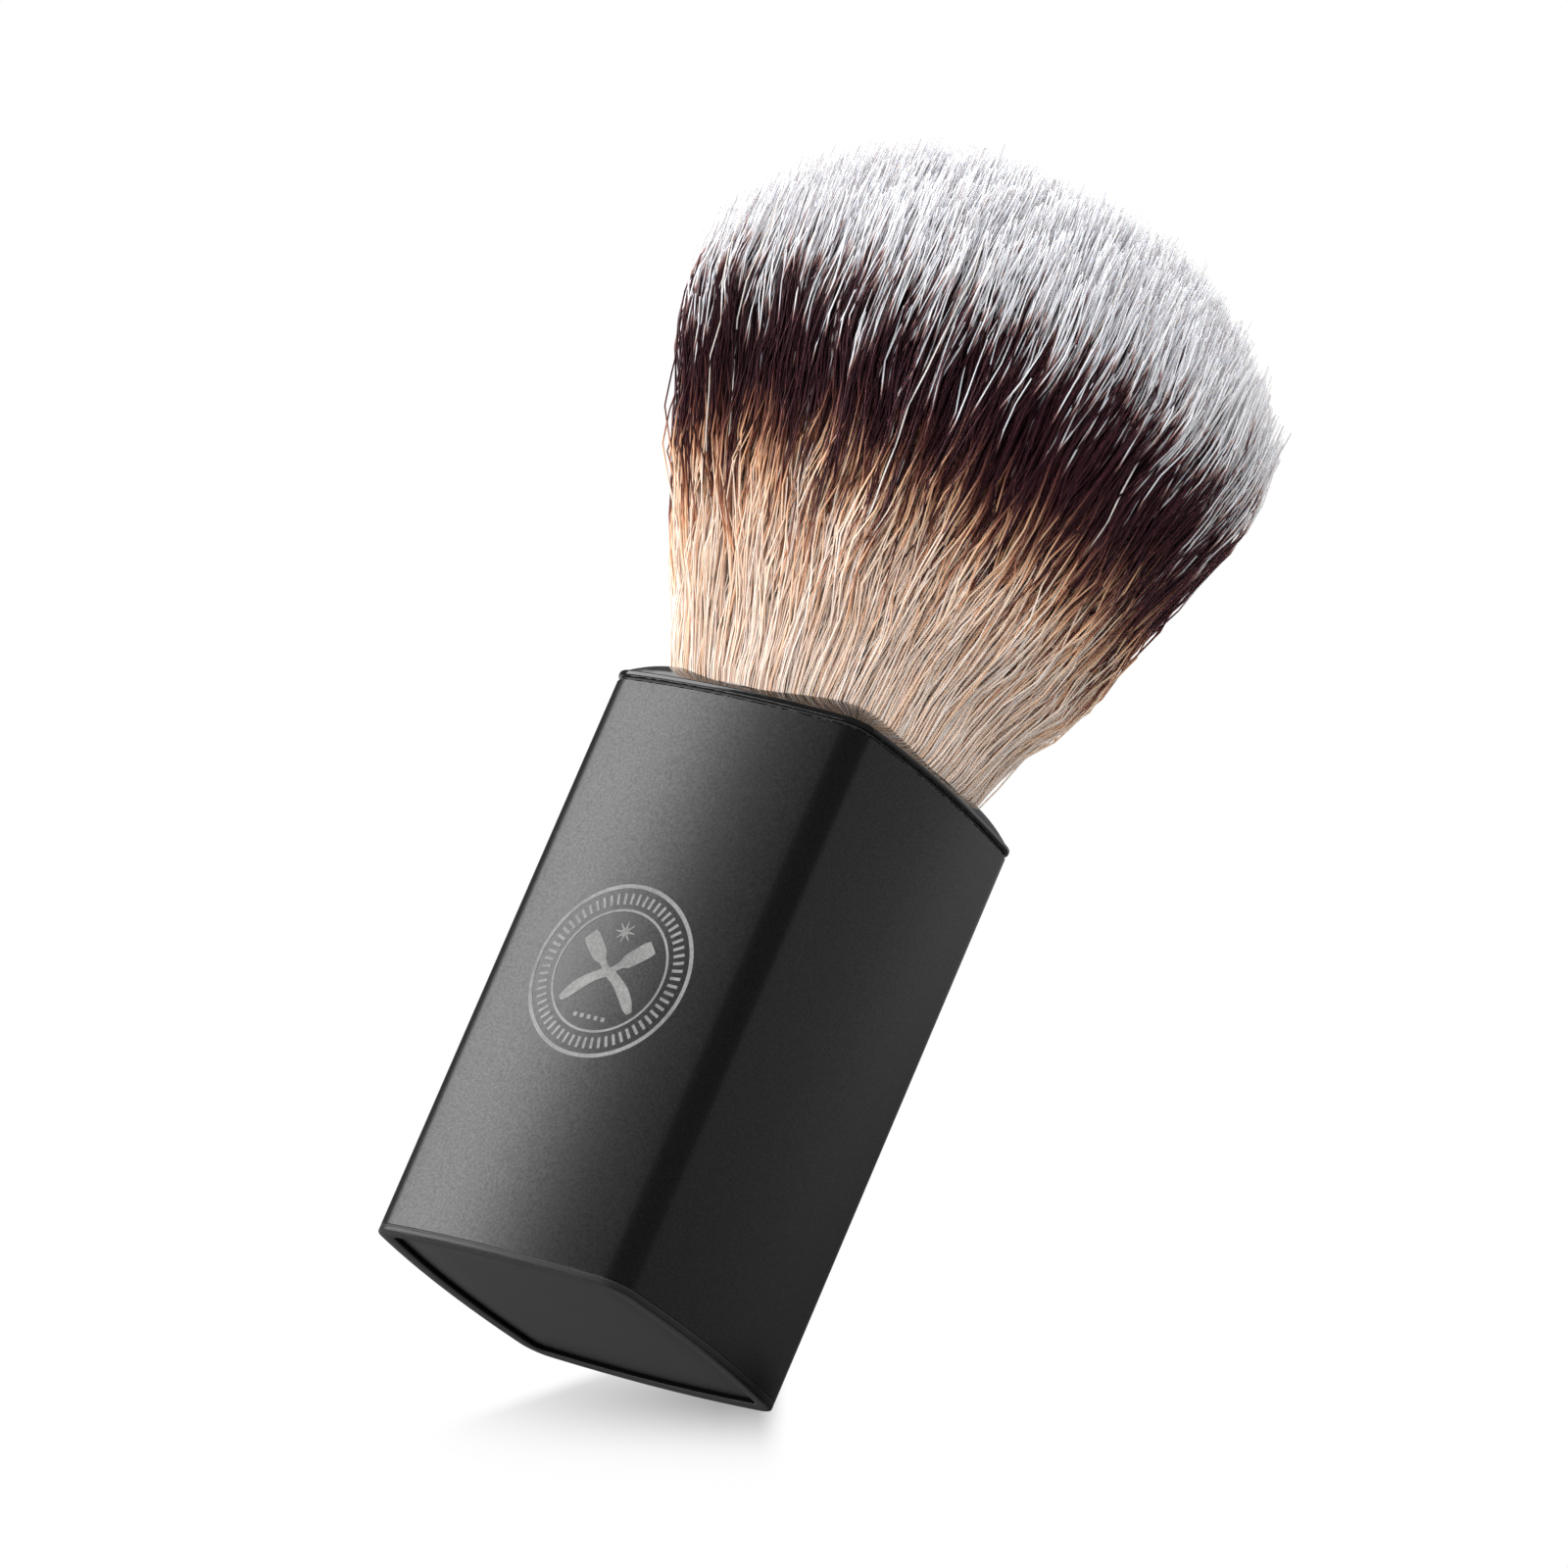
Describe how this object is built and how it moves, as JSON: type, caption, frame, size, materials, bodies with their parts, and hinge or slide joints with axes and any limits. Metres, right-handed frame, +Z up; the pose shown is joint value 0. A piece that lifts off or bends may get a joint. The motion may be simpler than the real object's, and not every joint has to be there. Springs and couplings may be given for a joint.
{
  "type": "shaving brush",
  "caption": "Barber's shaving brush: fan-shaped synthetic knot in a polished collar on a bowed square, satin black metal handle that stands on its flat base.",
  "frame": {"origin": "centre of the face that the brush stands on, at the base plug's rim", "axes": "+Z up along the handle to the bristle tips; X and Y square to the handle's four bowed sides"},
  "size_m": [0.0532, 0.0532, 0.1032],
  "materials": {
    "anodised_black": "fine bead-blasted, satin black anodised",
    "gloss_black": "polished black moulding",
    "satin_black": "satin black moulding",
    "synthetic_fibre": "fine crimped synthetic fibre: tan, then a dark band, then pale tips",
    "gasket_rubber": "matte black",
    "bare_aluminium": "as turned",
    "cast_resin": "clear amber, cast",
    "brass_insert": "as turned",
    "steel_hardware": "zinc plated",
    "adhesive_sheet": "double-sided foam sheet"
  },
  "bodies": {
    "root": {"sleeve": "anodised_black", "collar": "gloss_black", "collar_gasket": "gasket_rubber", "bristles": "synthetic_fibre", "knot_ring": "bare_aluminium", "knot_resin": "cast_resin", "knot_glue": "cast_resin", "threaded_insert": "brass_insert", "tie_screw": "steel_hardware", "screw_washer": "steel_hardware", "weight": "steel_hardware", "base_plug": "satin_black", "base_gasket": "gasket_rubber", "base_panel": "satin_black", "panel_adhesive": "adhesive_sheet"}
  },
  "joints": []
}
